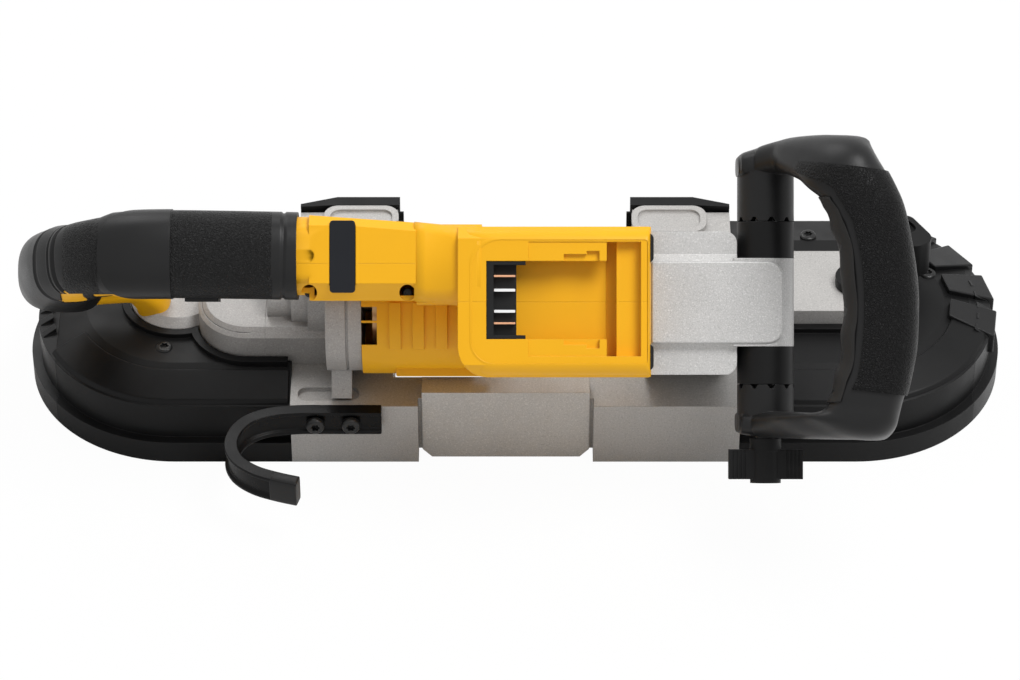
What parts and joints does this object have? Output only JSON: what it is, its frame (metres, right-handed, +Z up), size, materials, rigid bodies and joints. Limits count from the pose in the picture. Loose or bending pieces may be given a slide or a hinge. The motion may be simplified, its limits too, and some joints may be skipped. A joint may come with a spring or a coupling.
{
  "type": "portable band saw",
  "caption": "Cordless deep-cut portable band saw with guarded wheels, rear D-handle, tilting front handle, open battery dock and hang hook.",
  "frame": {"origin": "middle of the bounding box at the height of the surface that the saw lies on", "axes": "+Z up along the wheel axes, +X from the rear (drive) wheel to the front (idler) wheel, +Y from the spine to the cutting run of the blade"},
  "size_m": [0.522, 0.2746, 0.2249],
  "materials": {
    "cast_grey": "bead-blasted casting",
    "cast_dark": "painted casting",
    "guard_black": "fine grain",
    "rubber_black": "textured overmould",
    "housing_yellow": "satin, fine grain",
    "inner_black": "matt",
    "steel": "machined",
    "black_steel": "black oxide",
    "copper": "plain contact metal",
    "bronze": "winding and core"
  },
  "bodies": {
    "frame": {"main_frame": "cast_grey", "spine_cover": "cast_dark", "rear_guard": "guard_black", "front_guard": "guard_black", "rear_bumper": "rubber_black", "front_bumper": "rubber_black", "gear_case": "cast_dark", "gear_head": "cast_grey", "motor_case_top": "housing_yellow", "motor_case_side": "housing_yellow", "handle_shell_top": "housing_yellow", "handle_shell_side": "housing_yellow", "rear_grip": "rubber_black", "handle_foot": "rubber_black", "switch_body": "inner_black", "terminal_block": "inner_black", "contact_blades": "copper", "stator": "bronze", "motor_bearings": "steel", "gear_bearings": "steel", "slide_plate": "steel", "tension_spring": "steel", "blade": "steel", "rear_guide": "guard_black", "front_guide": "guard_black", "work_stop": "black_steel", "hang_hook": "black_steel", "hook_screws": "black_steel", "guard_screws": "black_steel", "front_bridge": "cast_grey", "pivot_collars": "guard_black", "pivot_bolt": "black_steel"},
    "drive": {"drive_wheel": "steel", "drive_tyre": "rubber_black", "drive_shaft": "steel", "drive_screw": "black_steel", "final_gear": "steel"},
    "cross": {"cross_shaft": "steel", "bevel_ring": "steel"},
    "bevel": {"bevel_pinion": "steel", "first_gear": "steel"},
    "rotor": {"motor_shaft": "steel", "rotor": "bronze", "fan": "inner_black"},
    "carriage": {"idler_carriage": "cast_dark"},
    "idler": {"idler_wheel": "steel", "idler_tyre": "rubber_black", "idler_bearings": "steel"},
    "lever": {"tension_lever": "guard_black"},
    "trigger": {"trigger": "guard_black"},
    "lock_button": {"lock_button": "guard_black"},
    "front_handle": {"front_handle": "guard_black", "front_grip": "rubber_black"},
    "wing_knob": {"wing_knob": "guard_black"},
    "rear_roller_low": {"rear_roller_low": "steel"},
    "rear_roller_high": {"rear_roller_high": "steel"},
    "rear_backup": {"rear_backup": "steel"},
    "front_roller_low": {"front_roller_low": "steel"},
    "front_roller_high": {"front_roller_high": "steel"},
    "front_backup": {"front_backup": "steel"}
  },
  "joints": [
    {"name": "drive_wheel_spin", "type": "hinge", "parent": "frame", "child": "drive", "pos_m": [-0.18, 0.05029, 0.0215], "axis": [0, 0, 1], "continuous": true},
    {"name": "cross_shaft_spin", "type": "hinge", "parent": "frame", "child": "cross", "pos_m": [-0.14115, 0.02964, 0.0365], "axis": [0, 0, 1], "continuous": true},
    {"name": "bevel_shaft_spin", "type": "hinge", "parent": "frame", "child": "bevel", "pos_m": [-0.105, 0.02964, 0.0655], "axis": [1, 0, 0], "continuous": true},
    {"name": "motor_spin", "type": "hinge", "parent": "frame", "child": "rotor", "pos_m": [-0.06, 0.00454, 0.08034], "axis": [1, 0, 0], "continuous": true},
    {"name": "idler_slide", "type": "slide", "parent": "frame", "child": "carriage", "axis": [-1, 0, 0], "range_m": [0, 0.008], "deforming": ["tension_spring"]},
    {"name": "idler_wheel_spin", "type": "hinge", "parent": "carriage", "child": "idler", "pos_m": [0.18, 0.05029, 0.0215], "axis": [0, 0, 1], "continuous": true},
    {"name": "tension_lever_turn", "type": "hinge", "parent": "frame", "child": "lever", "pos_m": [0.182, 0.05029, 0.0515], "axis": [0, 0, 1], "range_deg": [0, 180]},
    {"name": "trigger_pull", "type": "slide", "parent": "frame", "child": "trigger", "axis": [-1, 0, 0], "range_m": [0, 0.005], "stiffness_N_per_m": 600},
    {"name": "lock_button_press", "type": "slide", "parent": "frame", "child": "lock_button", "axis": [0, -0.6626, -0.749], "range_m": [0, 0.003], "stiffness_N_per_m": 600},
    {"name": "front_handle_tilt", "type": "hinge", "parent": "frame", "child": "front_handle", "pos_m": [0.127, -0.04199, 0.12184], "axis": [0, 0.6626, 0.749], "range_deg": [-45, 30]},
    {"name": "wing_knob_turn", "type": "hinge", "parent": "frame", "child": "wing_knob", "pos_m": [0.127, -0.095, 0.06192], "axis": [0, 0.6626, 0.749], "range_deg": [0, 360]},
    {"name": "rear_roller_low_spin", "type": "hinge", "parent": "frame", "child": "rear_roller_low", "pos_m": [-0.0785, 0.12005, 0.01409], "axis": [0, -0.9659, 0.2588], "continuous": true},
    {"name": "rear_roller_high_spin", "type": "hinge", "parent": "frame", "child": "rear_roller_high", "pos_m": [-0.0785, 0.12346, 0.02684], "axis": [0, -0.9659, 0.2588], "continuous": true},
    {"name": "rear_backup_spin", "type": "hinge", "parent": "frame", "child": "rear_backup", "pos_m": [-0.0675, 0.12818, 0.01874], "axis": [0, 0.2588, 0.9659], "continuous": true},
    {"name": "front_roller_low_spin", "type": "hinge", "parent": "frame", "child": "front_roller_low", "pos_m": [0.0785, 0.12005, 0.01409], "axis": [0, -0.9659, 0.2588], "continuous": true},
    {"name": "front_roller_high_spin", "type": "hinge", "parent": "frame", "child": "front_roller_high", "pos_m": [0.0785, 0.12346, 0.02684], "axis": [0, -0.9659, 0.2588], "continuous": true},
    {"name": "front_backup_spin", "type": "hinge", "parent": "frame", "child": "front_backup", "pos_m": [0.0675, 0.12818, 0.01874], "axis": [0, 0.2588, 0.9659], "continuous": true}
  ],
  "couplings": [
    {"joint": "cross_shaft_spin", "follows": "drive_wheel_spin", "ratio": -3.5833},
    {"joint": "bevel_shaft_spin", "follows": "drive_wheel_spin", "ratio": -7.8833},
    {"joint": "motor_spin", "follows": "drive_wheel_spin", "ratio": 38.541},
    {"joint": "idler_wheel_spin", "follows": "drive_wheel_spin", "ratio": 1},
    {"joint": "rear_roller_high_spin", "follows": "drive_wheel_spin", "ratio": -11.167},
    {"joint": "rear_roller_low_spin", "follows": "drive_wheel_spin", "ratio": 11.167},
    {"joint": "rear_backup_spin", "follows": "drive_wheel_spin", "ratio": -16.75},
    {"joint": "front_roller_high_spin", "follows": "drive_wheel_spin", "ratio": -11.167},
    {"joint": "front_roller_low_spin", "follows": "drive_wheel_spin", "ratio": 11.167},
    {"joint": "front_backup_spin", "follows": "drive_wheel_spin", "ratio": -16.75},
    {"joint": "tension_lever_turn", "follows": "idler_slide", "rad_per_m": 392.69}
  ]
}
